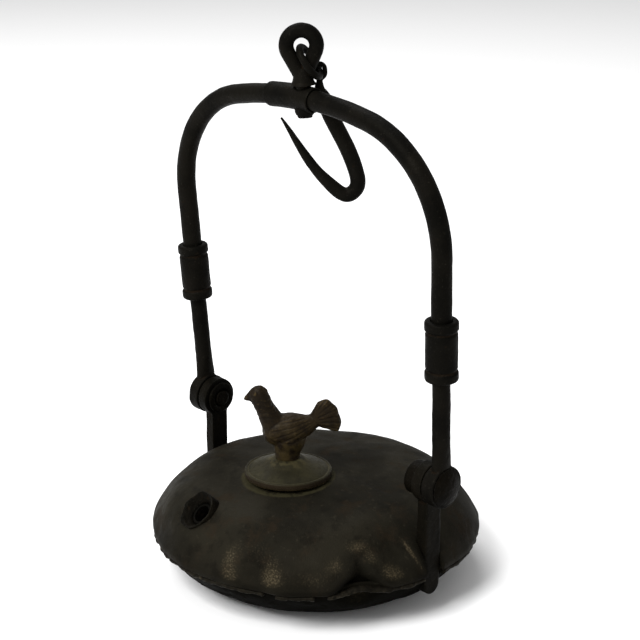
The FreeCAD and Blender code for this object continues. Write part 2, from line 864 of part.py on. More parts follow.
def hook_shape():
    """The tapered hook lofted along its stations, with a long ring for an eye."""
    spine = Part.BSplineCurve()
    spine.interpolate([Vector(x, y, z) for x, y, z, _ in HOOK_STATIONS])
    stops = [spine.parameter(Vector(x, y, z)) for x, y, z, _ in HOOK_STATIONS]
    count = round(spine.length() / HOOK_SPACING)
    rings = []
    for index in range(count + 1):
        stop = stops[0] + (stops[-1] - stops[0]) * index / count
        span = max(i for i in range(len(stops) - 1) if stops[i] <= stop)
        share = (stop - stops[span]) / (stops[span + 1] - stops[span])
        half = HOOK_STATIONS[span][3] * (1 - share) + HOOK_STATIONS[span + 1][3] * share
        along = spine.tangent(stop)[0]
        ring = Part.Wire(Part.Circle(Vector(), UP, half).toShape())
        turn = math.degrees(math.atan2(along.x, along.z))
        ring.Placement = FreeCAD.Placement(spine.value(stop), FreeCAD.Rotation(Vector(0, 1, 0), turn))
        rings.append(ring)
    shank = Part.makeLoft(rings, True, False)
    wide = size("hook_eye_half_width").number
    reach = size("hook_eye_half_length").number - wide
    top = HOOK_EYE + UP * reach
    low = HOOK_EYE - UP * reach
    side = Vector(wide, 0, 0)
    path = Part.Wire([
        Part.LineSegment(low + side, top + side).toShape(),
        Part.Arc(top + side, top + UP * wide, top - side).toShape(),
        Part.LineSegment(top - side, low - side).toShape(),
        Part.Arc(low - side, low - UP * wide, low + side).toShape(),
    ])
    section = Part.Wire(Part.Circle(low + side, UP, size("hook_eye_wire").number).toShape())
    ring = path.makePipeShell([section], True, True)
    return shank.fuse(ring).removeSplitter()


hook = doc.addObject("Part::Feature", "hook")
hook.Shape = hook_shape()
sub_part("hook", on_swivel(hook))


# ---- checks and files --------------------------------------------------------------------------------

doc.recompute()
for item in doc.Objects:
    if "Invalid" in item.State or "Error" in item.State:
        raise RuntimeError(f"{item.Name} ({item.Label}) failed: {item.State}")
for item in SUB_PARTS:
    shape = item.Shape
    if shape.isNull() or not shape.isValid() or not shape.Solids:
        raise RuntimeError(f"{item.Label} has no valid solid")
os.makedirs("parts", exist_ok=True)
for item in SUB_PARTS:
    item.Shape.exportStep(os.path.join("parts", f"{item.Label}.step"))
    print(f"{item.Label}: {item.Shape.Volume:.0f} mm3, {len(item.Shape.Solids)} solid")
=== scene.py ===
"""An iron miner's frog lamp: a flat oil font with a bronze rooster on its filler cap, which hangs
from a bail by a swivel and a hook."""

import math

import bmesh
import bpy
from mathutils import Matrix, Vector, noise


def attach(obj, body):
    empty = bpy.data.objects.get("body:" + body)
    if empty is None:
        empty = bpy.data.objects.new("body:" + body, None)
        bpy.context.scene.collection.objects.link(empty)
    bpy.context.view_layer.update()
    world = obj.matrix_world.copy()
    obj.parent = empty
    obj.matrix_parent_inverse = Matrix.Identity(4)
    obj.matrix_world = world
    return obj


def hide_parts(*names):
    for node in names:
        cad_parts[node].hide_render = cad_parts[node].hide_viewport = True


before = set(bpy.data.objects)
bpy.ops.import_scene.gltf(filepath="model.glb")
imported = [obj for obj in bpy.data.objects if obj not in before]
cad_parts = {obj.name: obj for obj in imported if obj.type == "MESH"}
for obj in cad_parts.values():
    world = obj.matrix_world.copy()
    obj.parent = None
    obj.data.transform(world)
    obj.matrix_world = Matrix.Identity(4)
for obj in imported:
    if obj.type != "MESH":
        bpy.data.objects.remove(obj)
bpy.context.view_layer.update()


# ---- Studio ------------------------------------------------------------------------------------
# A pale floor, two soft lamps and a lit room. The camera stands to the lamp's front right and looks
# a little down, with a long lens.
MM = 0.001
EYE = Vector((0.37955, -0.35676, 0.26037))
GAZE = Vector((-0.69059, 0.65262, -0.31173))
LENS = 91.44

camera = bpy.data.objects.new("camera", bpy.data.cameras.new("camera"))
camera.data.lens = LENS
camera.data.clip_start = 0.01
camera.matrix_world = Matrix.Translation(EYE) @ GAZE.to_track_quat("-Z", "Y").to_matrix().to_4x4()
bpy.context.scene.collection.objects.link(camera)
bpy.context.scene.camera = camera
bpy.context.scene.view_settings.view_transform = "Standard"

FLOOR_HALF, ROOM_LIGHT = 6.0, 0.60
PAPER_GREY = (0.86, 0.86, 0.86, 1)
LAMPS_AIM = Vector((0, 0, 0.04))
# Each lamp: where it stands, how wide it is, and its power in watts.
LAMPS = {"key_lamp": ((0.05, -0.9, 1.0), 0.6, 22.0), "side_lamp": ((-0.7, 0.3, 1.3), 0.8, 12.0)}

sheet = bmesh.new()
bmesh.ops.create_grid(sheet, x_segments=8, y_segments=8, size=FLOOR_HALF)
floor = bpy.data.objects.new("floor", bpy.data.meshes.new("floor"))
sheet.to_mesh(floor.data)
sheet.free()
paper = bpy.data.materials.new("pale_floor")
paper.use_nodes = True
paper.node_tree.nodes["Principled BSDF"].inputs["Base Color"].default_value = PAPER_GREY
paper.node_tree.nodes["Principled BSDF"].inputs["Roughness"].default_value = 0.9
floor.data.materials.append(paper)
bpy.context.scene.collection.objects.link(floor)

room = bpy.data.worlds.new("room")
room.use_nodes = True
room.node_tree.nodes["Background"].inputs["Color"].default_value = (1, 1, 1, 1)
room.node_tree.nodes["Background"].inputs["Strength"].default_value = ROOM_LIGHT
bpy.context.scene.world = room

for lamp_name, (lamp_place, lamp_size, lamp_power) in LAMPS.items():
    lamp = bpy.data.objects.new(lamp_name, bpy.data.lights.new(lamp_name, "AREA"))
    lamp.data.size = lamp_size
    lamp.data.energy = lamp_power
    aim = (LAMPS_AIM - Vector(lamp_place)).to_track_quat("-Z", "Y")
    lamp.matrix_world = Matrix.Translation(lamp_place) @ aim.to_matrix().to_4x4()
    bpy.context.scene.collection.objects.link(lamp)


# ---- Font shells -------------------------------------------------------------------------------
# The oil font is two shells of thin iron, dished over a form and joined round the rim. The top shell
# has been knocked in at the front: a sharp fold near the right strap, shallow dents beside it.
class Wire:
    """A socket of a material's nodes. Sums and products of wires add Math nodes beside it."""

    def __init__(self, tree, socket=None):
        self.tree, self.socket = tree, socket

    def node(self, kind, settings=None, inputs=None, out=0):
        made = self.tree.nodes.new(kind)
        for key, value in (settings or {}).items():
            setattr(made, key, value)
        for key, value in (inputs or {}).items():
            if isinstance(value, Wire):
                self.tree.links.new(value.socket, made.inputs[key])
            else:
                made.inputs[key].default_value = value
        return Wire(self.tree, made.outputs[out])

    def maths(self, operation, first, second):
        return self.node("ShaderNodeMath", {"operation": operation}, {0: first, 1: second})

    def __add__(self, other):
        return self.maths("ADD", self, other)

    def __sub__(self, other):
        return self.maths("SUBTRACT", self, other)

    def __rsub__(self, other):
        return self.maths("SUBTRACT", other, self)

    def __mul__(self, other):
        return self.maths("MULTIPLY", self, other)

    __radd__, __rmul__ = __add__, __mul__

    def __pow__(self, other):
        return self.maths("POWER", self, other)


def between(mask, low, high):
    """0 below low and 1 above high, with a smooth step from one to the other."""
    return mask.node("ShaderNodeMapRange", {"interpolation_type": "SMOOTHSTEP"},
                     {"Value": mask, "From Min": low, "From Max": high})


def clouds(place, size_mm, detail=3.0, roughness=0.55):
    """Soft noise, with spots about size_mm across."""
    return place.node("ShaderNodeTexNoise", None, {"Vector": place, "Scale": 1 / (size_mm * MM),
                                                   "Detail": detail, "Roughness": roughness})


def axes(place):
    """The three coordinates of a place on the piece, in metres."""
    split = place.node("ShaderNodeSeparateXYZ", None, {0: place})
    return [Wire(split.tree, socket) for socket in split.socket.node.outputs]


def blended(mask, first, second):
    """The first colour where the mask is 0 and the second where it is 1."""
    return mask.node("ShaderNodeMix", {"data_type": "RGBA"}, {0: mask, 6: first, 7: second}, out=2)


WARM_TINT = (1.0, 0.92, 0.74, 1)


def start_finish(name, specular, mark=None):
    """A new material, its shader, the place on the piece, and the mark painted on its points."""
    material = bpy.data.materials.new(name)
    material.use_nodes = True
    shader = material.node_tree.nodes["Principled BSDF"]
    shader.inputs["Specular IOR Level"].default_value = specular
    shader.inputs["Specular Tint"].default_value = WARM_TINT
    here = Wire(material.node_tree)
    place = here.node("ShaderNodeTexCoord", out="Object")
    painted = here.node("ShaderNodeAttribute", {"attribute_name": mark}, out="Fac") if mark else None
    return material, shader, place, painted


def end_finish(shader, colour, roughness, metallic, height, relief_mm):
    """Links what varies over the surface to the shader, the height through a Bump node. Metallic is
    None where nothing of the piece is bare metal."""
    bump = height.node("ShaderNodeBump", None, {"Height": height, "Distance": relief_mm * MM})
    for key, wire in (("Base Color", colour), ("Roughness", roughness),
                      ("Metallic", metallic), ("Normal", bump)):
        if wire is not None:
            wire.tree.links.new(wire.socket, shader.inputs[key])


def show(name, bm, material, body, slot, *nodes):
    """Makes the piece's object from its bmesh, smooth shaded, ties it to its body and hides the nodes it
    replaces.
    """
    piece = bpy.data.objects.new(name, bpy.data.meshes.new(name))
    bm.to_mesh(piece.data)
    bm.free()
    piece.data.materials.append(material)
    for face in piece.data.polygons:
        face.use_smooth = True
    bpy.context.scene.collection.objects.link(piece)
    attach(piece, body)
    if nodes:
        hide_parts(*nodes)
    return piece


RIM_RADIUS = 57.5
SKIRT_LOW, TOP_Z = 15.6, 37.0
SKIRT = ((RIM_RADIUS, 17.0), (RIM_RADIUS, 16.4), (RIM_RADIUS - 0.1, 15.9), (RIM_RADIUS - 0.4, SKIRT_LOW))
SHOULDER_BEND, SHOULDER_CENTRE = 26.0, (33.07, 8.71)
CROWN_BEND, CROWN_CENTRE_Z, CROWN_RADIUS = 266.0, -229.0, 36.6
RIM_SLOPE, CROWN_SLOPE = 20.0, 82.08
FLAT_RADIUS, BASE_BEND, BASE_END = 32.5, 26.0, -25.3
UPSTAND_RADIUS, UPSTAND_HEIGHTS = 55.9, (15.4, 16.1, 16.95)
WALL = 1.6
STEPS_ROUND, CROWN_STEPS, SHOULDER_STEPS, BASE_STEPS, FLAT_STEPS = 420, 34, 42, 36, 14
STRAP_HALF, STRAP_INSIDE, STRAP_FOOT = 3.6, 51.5, 8.5
FILLER_Y, NECK_RADIUS = -13.0, 11.55
WICK_POINT = Vector((-8.16, -46.29, 31.0))
WICK_AXIS = Vector((-0.1228, -0.6964, 0.7071)).normalized()
WICK_HOLE = 5.8
# The iron is true within STRAP_TRUE degrees of a strap's middle, and takes its dents past STRAP_FREE.
STRAP_TRUE, STRAP_FREE = 3.0, 7.0
# Hammering: how far in on average, then the height and the fineness of two waves over the skin.
BEATEN_IN, WAVES = 0.20, ((0.55, 0.045), (0.22, 0.16))
# The rim is bent up (+) or down (-) here: angle, half width, height.
RIM_BENDS = ((61.0, 6.5, 1.7), (37.0, 7.0, -0.7))
RIM_RIPPLE, RIM_BENT_AT, RIM_BENT_HALF = 0.5, 15.5, 7.0
# Each dent: angle from the front towards the right strap, height, half widths both ways, and depth.
DENTS = ((24.5, 20.0, 6.6, 6.0, 2.1), (76.0, 25.0, 5.2, 7.5, 1.9), (44.5, 19.0, 5.0, 4.0, 0.9),
         (5.0, 22.0, 7.0, 6.0, 0.8), (-28.0, 20.0, 9.0, 5.0, 0.7), (150.0, 22.0, 12.0, 6.0, 1.0),
         (-140.0, 21.0, 10.0, 6.0, 1.1), (-75.0, 22.0, 6.0, 5.0, 0.8))
FOLD_ANGLE, FOLD_HALF, FOLD_LOW, FOLD_HEIGHT, FOLD_DEPTH = 62.0, 11.5, 15.5, 11.5, 6.5
# Each polished place, with a painted highlight on its wear: angle, height, half widths both ways, and
# strength.
WEAR_AND_HIGHLIGHT_SPOTS = ((15.5, 23.0, 3.6, 4.5, 0.50), (17.5, 18.5, 3.0, 2.6, 0.45), (31.5, 20.5, 4.2, 4.8, 0.70),
         (24.0, 27.5, 9.0, 3.0, 0.25), (46.0, 20.5, 8.0, 4.0, 0.35), (72.0, 21.0, 3.4, 3.0, 0.60),
         (62.0, 28.6, 5.0, 1.7, 0.55), (53.5, 24.5, 3.4, 2.6, 0.45), (66.5, 25.6, 3.0, 2.0, 0.50),
         (76.0, 19.5, 3.0, 2.4, 0.40))
# Painted shade lies along the straps, in the fold, round the wick and along the front of the rim: angle,
# height, half widths, strength.
CREASE_SHADE_SPOTS = ((88.0, 19.0, 5.5, 9.0, 1.0), (-88.0, 19.0, 6.0, 9.0, 0.8), (57.0, 17.5, 4.5, 3.5, 0.8),
         (40.0, 16.6, 30.0, 1.3, 0.6), (-10.0, 30.0, 8.0, 3.5, 0.5))


def swell(value):
    """A smooth rise from 0 to 1 as value goes from 0 to 1."""
    value = max(0.0, min(1.0, value))
    return value * value * (3 - 2 * value)


def bell(angle, z, spot):
    """How near a point is to a spot on the font, 1 at its middle, falling off smoothly."""
    across = (angle - spot[0] + 180) % 360 - 180
    return math.exp(-(across / spot[2]) ** 2 - ((z - spot[1]) / spot[3]) ** 2)


def fold_reach(angle, z):
    """Above 0 inside the fold, which is a wedge with its point up on the shoulder."""
    return 1 - abs(angle - FOLD_ANGLE) / FOLD_HALF - max(0.0, z - FOLD_LOW) / FOLD_HEIGHT


def angle_of(point):
    """The angle round the font in degrees, 0 at the front and 90 at the right strap."""
    return math.degrees(math.atan2(point.x, -point.y))


def past_strap(angle):
    """0 at the straps and 1 away from them."""
    return swell((abs(abs(angle) - 90) - STRAP_TRUE) / (STRAP_FREE - STRAP_TRUE))


def knocked(point, share=1.0, fold_share=1.0):
    """Where a point of the font is now, after its knocks. Points and lengths are in millimetres."""
    angle, z = angle_of(point), point.z
    depth = sum(dent[4] * bell(angle, z, dent) for dent in DENTS)
    depth += FOLD_DEPTH * fold_share * swell(1.5 * fold_reach(angle, z)) * swell((z - 12.0) / 5.0)
    depth += BEATEN_IN + sum(high * noise.noise(point * fine) for high, fine in WAVES)
    outward = Vector((point.x, point.y, 0))
    outward = outward.normalized() * min(1.0, outward.length / 40) + Vector((0, 0, (z - 9) / 30))
    lift = sum(high * math.exp(-((angle - bend) / half) ** 2) for bend, half, high in RIM_BENDS)
    lift += RIM_RIPPLE * noise.noise(Vector((angle * 0.06, 4.2, 0)))
    lift *= swell(1 - abs(z - RIM_BENT_AT) / RIM_BENT_HALF)
    moved = point + (Vector((0, 0, lift)) - outward.normalized() * depth) * past_strap(angle) * share
    within = min(1.0, RIM_RADIUS / max(math.hypot(moved.x, moved.y), 1.0))
    return Vector((moved.x * within, moved.y * within, moved.z))


def turned(profile, steps, closed=False):
    """A bmesh of the profile, points of (radius, height) in millimetres, spun right round."""
    bm = bmesh.new()
    points = [bm.verts.new((radius, 0, z)) for radius, z in profile]
    for first, second in zip(points, points[1:] + points[:1] if closed else points[1:]):
        bm.edges.new((first, second))
    bmesh.ops.spin(bm, geom=bm.verts[:] + bm.edges[:], cent=(0, 0, 0), axis=(0, 0, 1),
                   angle=math.tau, steps=steps, use_merge=True, use_duplicate=False)
    bmesh.ops.remove_doubles(bm, verts=bm.verts, dist=1e-4)
    bmesh.ops.recalc_face_normals(bm, faces=bm.faces)
    return bm


def faces_in(bm, test):
    """The faces of a bmesh whose middle passes a test."""
    return [f for f in bm.faces if test(f.calc_center_median())]


def cut_straps(bm):
    """Cuts the two slots in the rim that the straps of the lugs sit in."""
    for side in (1, -1):
        for co, no in (((0, STRAP_HALF, 0), (0, 1, 0)), ((0, -STRAP_HALF, 0), (0, 1, 0)),
                       ((side * STRAP_INSIDE, 0, 0), (1, 0, 0))):
            near = faces_in(bm, lambda at: at.x * side > STRAP_INSIDE - 5.5 and abs(at.y) < 8)
            edges = {e for f in near for e in f.edges}
            points = {v for f in near for v in f.verts}
            bmesh.ops.bisect_plane(bm, geom=near + list(edges) + list(points), dist=1e-4,
                                   plane_co=co, plane_no=no)
    slots = faces_in(bm, lambda at: abs(at.x) > STRAP_INSIDE and abs(at.y) < STRAP_HALF
                     and at.z > STRAP_FOOT)
    bmesh.ops.delete(bm, geom=slots, context="FACES")


def cut_round(bm, base, axis, radius):
    """Cuts a round hole through a shell about an axis, and trues the hole's edge to the radius."""
    def off(point):
        return (point - base) - (point - base).dot(axis) * axis
    inside = [f for f in bm.faces if any(off(v.co).length < radius for v in f.verts)
              and (f.calc_center_median() - base).dot(axis) > -6]
    rim = {v for f in inside for v in f.verts}
    bmesh.ops.delete(bm, geom=inside, context="FACES")
    for v in rim:
        if v.is_valid and v.is_boundary:
            v.co -= off(v.co) * (1 - radius / off(v.co).length)


def thicken(piece):
    """Gives a font shell its wall, inward from the skin."""
    solid = piece.modifiers.new("wall", "SOLIDIFY")
    solid.thickness = WALL * MM
    solid.offset = -1
    solid.use_even_offset = False


def arc(centre, bend, start, end, steps):
    """Points (radius, height) along a round bend, with its angles in degrees."""
    turns = [math.radians(start + (end - start) * step / steps) for step in range(steps + 1)]
    return [(centre[0] + bend * math.cos(turn), centre[1] + bend * math.sin(turn)) for turn in turns]


crown_radii = (CROWN_RADIUS * step / CROWN_STEPS for step in range(CROWN_STEPS))
top_profile = [(radius, CROWN_CENTRE_Z + math.sqrt(CROWN_BEND ** 2 - radius ** 2)) for radius in crown_radii]
top_profile += arc(SHOULDER_CENTRE, SHOULDER_BEND, CROWN_SLOPE, RIM_SLOPE, SHOULDER_STEPS)
top = turned(top_profile + list(SKIRT), STEPS_ROUND)
if sum(f.normal.z for f in top.faces) < 0:
    bmesh.ops.reverse_faces(top, faces=top.faces)
cut_straps(top)
cut_round(top, Vector((0, FILLER_Y, TOP_Z)), Vector((0, 0, 1)), NECK_RADIUS)
cut_round(top, WICK_POINT, WICK_AXIS, WICK_HOLE)
# A painted highlight with worn flecks lies on the ridge that leans along the right strap. Round the wick nut
# and the cap the iron is still true.
RIDGE_ANGLE, RIDGE_TOP, RIDGE_LEAN, RIDGE_HALF = 81.5, 27.0, 0.36, 1.1
WICK_SEAT, CAP_SEAT, SEAT_EASE = 8.2, 14.0, 6.0
wear_light_shade = top.verts.layers.float.new("wear_light_shade")
for v in top.verts:
    angle, z = angle_of(v.co), v.co.z
    wear_and_painted_light = sum(spot[4] * bell(angle, z, spot) for spot in WEAR_AND_HIGHLIGHT_SPOTS)
    off_ridge = (angle - RIDGE_ANGLE - (RIDGE_TOP - z) * RIDGE_LEAN) / RIDGE_HALF
    ridge = math.exp(-off_ridge ** 2) * swell((z - 16) / 3) * swell((31 - z) / 6)
    # Painted shade in the creases, taken off the mark below.
    crease_shade = sum(spot[4] * bell(angle, z, spot) for spot in CREASE_SHADE_SPOTS)
    # The mark: wear with painted highlights above 0, painted shade below 0.
    v[wear_light_shade] = min(1.0, wear_and_painted_light + ridge) - crease_shade
    seated = swell(((v.co - WICK_POINT).length - WICK_SEAT) / SEAT_EASE)
    seated *= swell((math.hypot(v.co.x, v.co.y - FILLER_Y) - CAP_SEAT) / SEAT_EASE)
    v.co = (v.co + (knocked(v.co) - v.co) * seated) * MM


OLD_IRON_DARK, OLD_IRON_BROWN = (0.0058, 0.0052, 0.0036, 1), (0.0108, 0.0095, 0.0064, 1)
BLOTCH, SHELL_RUST = (0.0030, 0.0027, 0.0019, 1), (0.0170, 0.0115, 0.0068, 1)
PALE_SPOT, CAP_DIRT = (0.021, 0.018, 0.012, 1), (0.029, 0.026, 0.013, 1)
# Painted shade colours, for low on the font and for its creases.
LOW_SHADE, CREASE_SHADE = (0.0032, 0.0028, 0.0020, 1), (0.0016, 0.0014, 0.0010, 1)
RUBBED_AND_LIT_IRON, BARE_FLECK_AND_GLINT = (0.030, 0.024, 0.014, 1), (0.085, 0.067, 0.040, 1)
# Painted shade colour for the underside.
UNDERSIDE_SHADE = (0.0014, 0.0013, 0.0009, 1)
DIRT_INNER, DIRT_OUTER, UNDERSIDE_SHADE_EASE = 0.0156, 0.0166, 0.0055


def shell_iron(name, specular, metal, underside_shade_top, underside_shade):
    """The font's old iron: dark patches, rust, bare flecks and painted highlights where it is polished,
    dirt round the cap, painted shade in its creases and low down, and painted shade on the underside
    that starts at a given height and grows downward."""
    material, shader, place, wear_and_painted_light = start_finish(name, specular, "wear_light_shade")
    x, y, z = axes(place)
    from_cap = (x * x + (y - FILLER_Y * MM) * (y - FILLER_Y * MM)) ** 0.5
    patches = clouds(place, 22, 4.0)
    blotches = between(clouds(place, 7, 4.0, 0.6), 0.50, 0.66)
    rust = between(clouds(place, 9, 5.0, 0.65), 0.52, 0.68)
    grit = clouds(place, 0.55, 3.0, 0.6)
    # Painted shade where the mark is below 0: along the straps, in the fold, round the wick and at the rim.
    crease_shade = between(wear_and_painted_light, -0.05, -0.75)
    # Painted shade: the font is darker low down, under its shoulder.
    low_down = between(z, 0.0255, 0.0160)
    halo = between(from_cap, DIRT_OUTER, DIRT_INNER) * between(clouds(place, 2.6, 3.0), 0.25, 0.55)
    halo = halo * between(z, 0.030, 0.034)
    flecks = between(grit + wear_and_painted_light * 0.22, 0.56, 0.82) * between(wear_and_painted_light, 0.05, 0.75)
    colour = blended(between(patches, 0.35, 0.65), OLD_IRON_DARK, OLD_IRON_BROWN)
    colour = blended(blotches * 0.55, colour, BLOTCH)
    colour = blended(rust * 0.4, colour, SHELL_RUST)
    colour = blended(between(clouds(place, 1.6, 3.0), 0.60, 0.74) * 0.45, colour, PALE_SPOT)
    colour = blended(low_down * 0.5, colour, LOW_SHADE)
    colour = blended(crease_shade * 0.8, colour, CREASE_SHADE)
    colour = blended(halo * 0.7, colour, CAP_DIRT)
    # Rubbed iron and bare flecks, with painted highlights and glints on them, on the polished places.
    colour = blended(between(wear_and_painted_light, 0.15, 0.85) * 0.50, colour, RUBBED_AND_LIT_IRON)
    colour = blended(flecks * 0.65, colour, BARE_FLECK_AND_GLINT)
    # Painted shade on the underside, darkest below the given height.
    colour = blended(between(z, underside_shade_top, underside_shade_top - UNDERSIDE_SHADE_EASE) * underside_shade, colour, UNDERSIDE_SHADE)
    roughness = 0.62 - 0.14 * between(patches, 0.4, 0.7) + 0.14 * rust - 0.24 * flecks + 0.1 * halo
    height = clouds(place, 5.0, 5.0, 0.6) * 0.5 + grit * 0.22 - rust * 0.15
    end_finish(shader, colour, roughness, metal + 0.6 * flecks, height, 0.35)
    return material


font_iron = shell_iron("old_font_iron", 0.022, 0.02, 0.0150, 0.8)
thicken(show("font_top", top, font_iron, "root", "font_iron", "font_top_shell"))

base_profile = [(FLAT_RADIUS * step / FLAT_STEPS, 0.0) for step in range(FLAT_STEPS)]
base_profile += arc((FLAT_RADIUS, BASE_BEND), BASE_BEND, -90, BASE_END, BASE_STEPS)
base_profile += [(UPSTAND_RADIUS, height) for height in UPSTAND_HEIGHTS]
base = turned(base_profile, STEPS_ROUND)
if sum(f.normal.z for f in base.faces) > 0:
    bmesh.ops.reverse_faces(base, faces=base.faces)
cut_straps(base)
# The fold reaches the bottom shell only in part. Low down it has its own dents (+) and a swelling (-).
BAND_FOLD, BAND_IN = 0.30, 0.55
BAND_LOW, BAND_RISE = 8.0, 5.5
# Painted highlights, with bare flecks in them, on the bottom shell: on the swelling under the fold and in a
# band along the seam. Angle, height, half widths both ways, and strength.
BASE_HIGHLIGHT_SPOTS = ((61.0, 12.5, 5.5, 3.0, 0.55), (33.0, 14.5, 16.0, 1.5, 0.15))
BASE_DENTS = ((61.5, 11.0, 7.0, 4.0, -1.5), (44.0, 7.0, 6.0, 4.5, 1.3), (14.0, 8.0, 8.0, 4.0, 0.9))
wear_light_shade = base.verts.layers.float.new("wear_light_shade")
for v in base.verts:
    angle, z = angle_of(v.co), v.co.z
    v[wear_light_shade] = sum(spot[4] * bell(angle, z, spot) for spot in BASE_HIGHLIGHT_SPOTS)
    rise = swell((z - BAND_LOW) / BAND_RISE)
    wave = BAND_IN + 0.6 * noise.noise(Vector((v.co.x, v.co.y, 0)) * 0.07) + 0.3 * noise.noise(v.co * 0.2)
    wave += sum(dent[4] * bell(angle, z, dent) for dent in BASE_DENTS)
    flat = Vector((v.co.x, v.co.y, 0)).normalized()
    moved = knocked(v.co, rise, BAND_FOLD) - flat * wave * (1 - rise) * swell(z / 4) * past_strap(angle)
    v.co = Vector((moved.x, moved.y, max(moved.z, 0.0))) * MM
# The bottom shell gets dark painted shade over its underside.
base_iron = shell_iron("base_iron_underside_shade", 0.005, 0.0, 0.0185, 0.95)
thicken(show("font_base", base, base_iron, "root", "font_iron", "font_bottom_shell"))


# ---- Rim seam ----------------------------------------------------------------------------------
# The shells are brazed together under the skirt of the top one. The bead is uneven, and at the front
# it has let go in two short cracks.
BEAD_PLACE, BEAD_RADIUS, BEAD_SIDES = (56.35, 14.75), 1.0, 10
CRACKS, STRAP_GAP = ((29.5, 33.5), (46.5, 51.0)), 4.0



def point_out(bm):
    """Turns a closed bmesh right side out if it is inside out."""
    if bm.calc_volume(signed=True) < 0:
        bmesh.ops.reverse_faces(bm, faces=bm.faces)


def in_gap(point):
    """Whether the bead is broken at a point, by a crack or by a strap."""
    angle = angle_of(point)
    return any(low < angle < high for low, high in CRACKS) or abs(abs(angle) - 90) < STRAP_GAP


bead_profile = arc(BEAD_PLACE, BEAD_RADIUS, 0, 360, BEAD_SIDES)[:BEAD_SIDES]
bead = turned(bead_profile, STEPS_ROUND, closed=True)
point_out(bead)
bmesh.ops.delete(bead, geom=faces_in(bead, in_gap), context="FACES")
bmesh.ops.holes_fill(bead, edges=[e for e in bead.edges if e.is_boundary], sides=0)
for v in bead.verts:
    middle = Vector((v.co.x, v.co.y, 0)).normalized() * BEAD_PLACE[0] + Vector((0, 0, BEAD_PLACE[1]))
    fat = 0.86 + 0.5 * noise.noise(v.co * 0.35) + 0.22 * noise.noise(v.co * 1.1)
    v.co = knocked(middle + (v.co - middle) * fat, 1.0, BAND_FOLD) * MM

BRAZE_DARK, BRAZE_DULL = (0.0028, 0.0024, 0.0017, 1), (0.0072, 0.0060, 0.0040, 1)
BRAZE_BRIGHT = (0.026, 0.021, 0.014, 1)
braze, shader, place, _ = start_finish("dull_braze", 0.06)
spots = clouds(place, 1.6, 4.0)
bright = between(clouds(place, 6.0, 3.0), 0.55, 0.70) * between(spots, 0.45, 0.62)
colour = blended(between(spots, 0.35, 0.65), BRAZE_DARK, BRAZE_DULL)
colour = blended(bright * 0.8, colour, BRAZE_BRIGHT)
end_finish(shader, colour, 0.62 - 0.2 * bright, 0.12 + 0.5 * bright, spots, 0.3)
show("rim_seam", bead, braze, "root", "braze", "seam_braze")


# ---- Lugs --------------------------------------------------------------------------------------
# Two iron straps stand up from the rim, one at each side, with a round ear on top for the bail's
# pivot and a foot hooked under the rim. They are forged, so nothing on them is quite flat.
def reskinned(rough, grain):
    """A new bmesh of a rough one, its skin remade in even faces about as large as grain."""
    blank = bpy.data.objects.new("blank", bpy.data.meshes.new("blank"))
    rough.to_mesh(blank.data)
    rough.free()
    bpy.context.scene.collection.objects.link(blank)
    skin = blank.modifiers.new("skin", "REMESH")
    skin.mode = "VOXEL"
    skin.voxel_size = grain
    even = bpy.data.meshes.new_from_object(blank.evaluated_get(bpy.context.evaluated_depsgraph_get()))
    bpy.data.objects.remove(blank)
    bm = bmesh.new()
    bm.from_mesh(even)
    bpy.data.meshes.remove(even)
    return bm


def smoothed(bm, rounds, factor=0.5):
    """Wears the corners of a bmesh down, more with more rounds."""
    for _ in range(rounds):
        bmesh.ops.smooth_vert(bm, verts=bm.verts, factor=factor,
                              use_axis_x=True, use_axis_y=True, use_axis_z=True)


def mark_edges(bm):
    """Paints the mark named edge: above 0 on ridges and corners, below 0 in hollows."""
    bm.normal_update()
    edge = bm.verts.layers.float.new("edge")
    for v in bm.verts:
        rises = [v.normal.dot((v.co - e.other_vert(v).co).normalized()) for e in v.link_edges]
        v[edge] = sum(rises) / max(1, len(rises))
    for _ in range(2):
        soft = [(v[edge] * 2 + sum(e.other_vert(v)[edge] for e in v.link_edges)) / (2 + len(v.link_edges))
                for v in bm.verts]
        for v, value in zip(bm.verts, soft):
            v[edge] = value


def worked(node, name, material, body, slot, grain=0.4, dings=0.16, spread=5.0, seed=0.0,
           scale_mm=0.0, rounds=1):
    """A CAD piece with its skin remade in faces grain mm across, beaten in by up to dings mm in hollows
    spread mm across. scale_mm is the rust scale it has grown. More rounds wear its corners off."""
    copy = bmesh.new()
    copy.from_mesh(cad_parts[node].data)
    bmesh.ops.remove_doubles(copy, verts=copy.verts, dist=2e-6)
    bm = reskinned(copy, grain * MM)
    smoothed(bm, rounds)
    bm.normal_update()
    shift = Vector((seed, seed * 1.7, -seed))
    depths = [dings * (0.5 + 0.5 * noise.noise(v.co / (spread * MM) + shift)
                       + 0.25 * noise.noise(v.co / (spread * 0.3 * MM) + shift)) for v in bm.verts]
    mark_edges(bm)
    for v, depth in zip(bm.verts, depths):
        v.co -= v.normal * (max(0.0, depth) - scale_mm) * MM
    return show(name, bm, material, body, slot, node)


RUST_BROWN, HOLLOW_BROWN = (0.0082, 0.0054, 0.0032, 1), (0.0050, 0.0034, 0.0022, 1)
BARE_EDGE, BARE_SPECK = (0.028, 0.025, 0.019, 1), (0.022, 0.020, 0.015, 1)
FORGED_SPECULAR = 0.02


